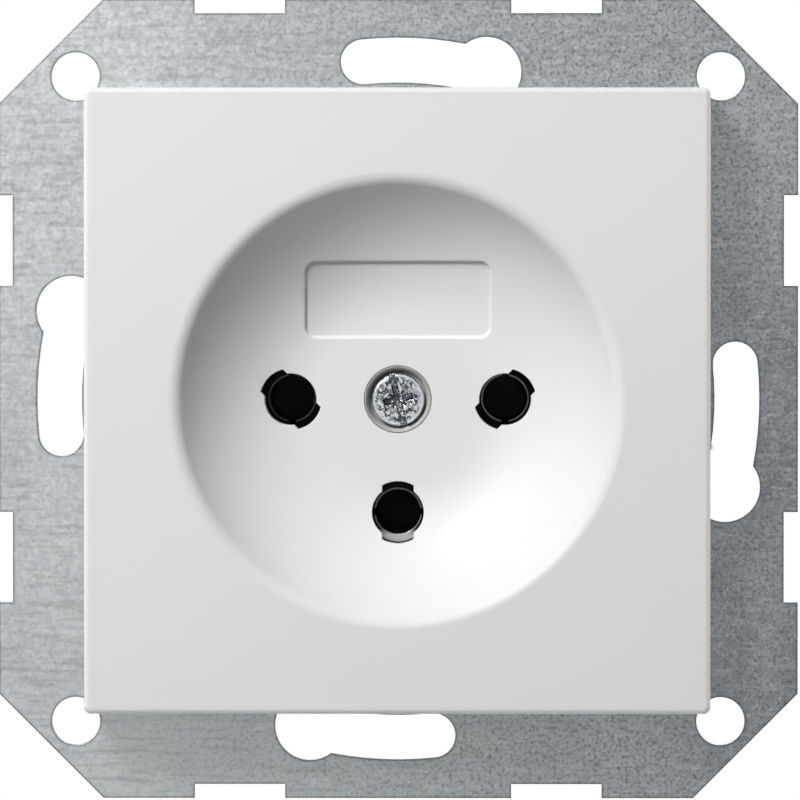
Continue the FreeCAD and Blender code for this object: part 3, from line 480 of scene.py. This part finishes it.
# Claw screws, slotted, with their heads under the cover
head_height = 2.0
for side in ("right", "left"):
    low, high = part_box(side + "_claw_screw")
    shank_length = (high[1] - low[1]) / MM - head_height
    piece = machine_screw(side + "_claw_screw_cut", (2.5, head_height, 0.4), (1.5, shank_length), 0.5,
                          [(6.0, 0.8, 0.9, QUARTER, SLOT_TAPER)])
    set_down(piece, ((low[0] + high[0]) / 2, low[1] + head_height * MM, 0), FACE_FRONT,
             claw_screw_zinc, side + "_claw_screw", side + "_claw_screw_body")

# Terminal screws: live and neutral have their heads up, earth has its head down
for pole, turn in (("live", (0, 0, 0)), ("neutral", (0, 0, 0)), ("earth", (math.pi, 0, 0))):
    low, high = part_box(pole + "_terminal_screw")
    shank_length = (high[2] - low[2]) / MM - head_height
    cross = [(3.4, 0.9, 1.3, groove_turn, CROSS_TAPER) for groove_turn in (0, QUARTER)]
    piece = machine_screw(pole + "_terminal_screw_cut", (3.2, head_height, 0.3), (1.75, shank_length), 0.6,
                          [(7.0, 0.8, 1.0, 0, SLOT_TAPER), *cross])
    seat = low[2] + head_height * MM if pole == "earth" else high[2] - head_height * MM
    set_down(piece, ((low[0] + high[0]) / 2, (low[1] + high[1]) / 2, seat), turn,
             terminal_zinc, pole + "_terminal_screw", "insert")


# Studio
def pale_room():
    world = bpy.data.worlds.new("pale_room")
    world.use_nodes = True
    nodes, links = world.node_tree.nodes, world.node_tree.links

    def greater(a, b):
        node = add_node(nodes, "ShaderNodeMath", operation="MAXIMUM")
        links.new(a, node.inputs[0])
        links.new(b, node.inputs[1])
        return node.outputs[0]

    def front_to_back(*numbers):
        node = add_node(nodes, "ShaderNodeMapRange")
        set_range(node, *numbers)
        links.new(split.outputs["Y"], node.inputs["Value"])
        return node.outputs["Result"]

    # The room lights faintly, more from behind, metal mirrors it paler, and the camera sees it white
    split = add_node(nodes, "ShaderNodeSeparateXYZ")
    links.new(add_node(nodes, "ShaderNodeTexCoord").outputs["Generated"], split.inputs[0])
    path = add_node(nodes, "ShaderNodeLightPath")
    shine = add_node(nodes, "ShaderNodeMix", data_type="FLOAT")
    mirror_ray = greater(path.outputs["Is Glossy Ray"], path.outputs["Is Transmission Ray"])
    links.new(mirror_ray, shine.inputs["Factor"])
    links.new(front_to_back(-0.2, 0.5, 0.065, 0.26), shine.inputs["A"])
    links.new(front_to_back(-0.90, -0.35, 0.66, 0.84), shine.inputs["B"])
    level = greater(shine.outputs["Result"], path.outputs["Is Camera Ray"])
    links.new(level, nodes["Background"].inputs["Strength"])
    nodes["Background"].inputs["Color"].default_value = (1, 1, 1, 1)
    bpy.context.scene.world = world


def softbox(name, place, aim, size, power):
    lamp = bpy.data.lights.new(name, "AREA")
    lamp.shape, lamp.size, lamp.energy = "SQUARE", size, power
    obj = bpy.data.objects.new(name, lamp)
    bpy.context.scene.collection.objects.link(obj)
    obj.location = place
    obj.rotation_euler = (Vector(aim) - Vector(place)).to_track_quat("-Z", "Y").to_euler()
    obj.visible_camera = False


def pale_floor():
    radius, drop = 0.6, 0.6
    start_clean()
    bpy.ops.mesh.primitive_circle_add(vertices=96, radius=radius, fill_type="NGON", location=(0, 0, -drop))
    floor = bpy.context.active_object
    floor.name = "studio_floor"
    finish = Finish("floor_paper", (0.80, 0.80, 0.80), 0.8)
    finish.tint(finish.patches(80 * MM, 3.0, 0.3, 0.7, 0.3), (0.78, 0.78, 0.78))
    # Metal mirrors the floor as pale as the room
    finish.shader.inputs["Emission Color"].default_value = (1, 1, 1, 1)
    path = finish.add("ShaderNodeLightPath")
    finish.links.new(finish.ramp(path.outputs["Is Glossy Ray"], 0.0, 1.0, 0.0, 0.6),
                     finish.shader.inputs["Emission Strength"])
    floor.data.materials.append(finish.material)


pale_room()
pale_floor()
AT_FACE = (0, -0.01, 0)
AT_BACK = (0, 0.01, 0)
softbox("upper_left_softbox", (-0.270, -0.414, 0.389), AT_FACE, size=0.25, power=3.47)
softbox("upper_panel", (-0.171, -0.392, 0.235), AT_FACE, size=0.12, power=0.93)
softbox("rear_softbox", (0.22, 0.50, 0.30), AT_BACK, size=0.30, power=1.3)
softbox("right_softbox", (0.50, 0.13, 0.05), AT_BACK, size=0.20, power=1.5)
softbox("left_softbox", (-0.50, 0.13, 0.05), AT_BACK, size=0.20, power=0.7)
softbox("low_softbox", (0.05, 0.13, -0.50), AT_BACK, size=0.20, power=0.6)

# Camera, shifted by a pixel or two of an 800 pixel picture
PICTURE = 800
lens = bpy.data.cameras.new("camera")
lens.sensor_width = 36
lens.lens = 358.7
lens.shift_x = 1.75 / PICTURE
lens.shift_y = -1.3 / PICTURE
lens.clip_start, lens.clip_end = 0.01, 10
camera = bpy.data.objects.new("camera", lens)
bpy.context.scene.collection.objects.link(camera)
camera.location = (0.0075, -0.709, 0.0143)
camera.rotation_euler = (-camera.location).to_track_quat("-Z", "Y").to_euler()
bpy.context.scene.camera = camera
bpy.context.scene.view_settings.view_transform = "Standard"
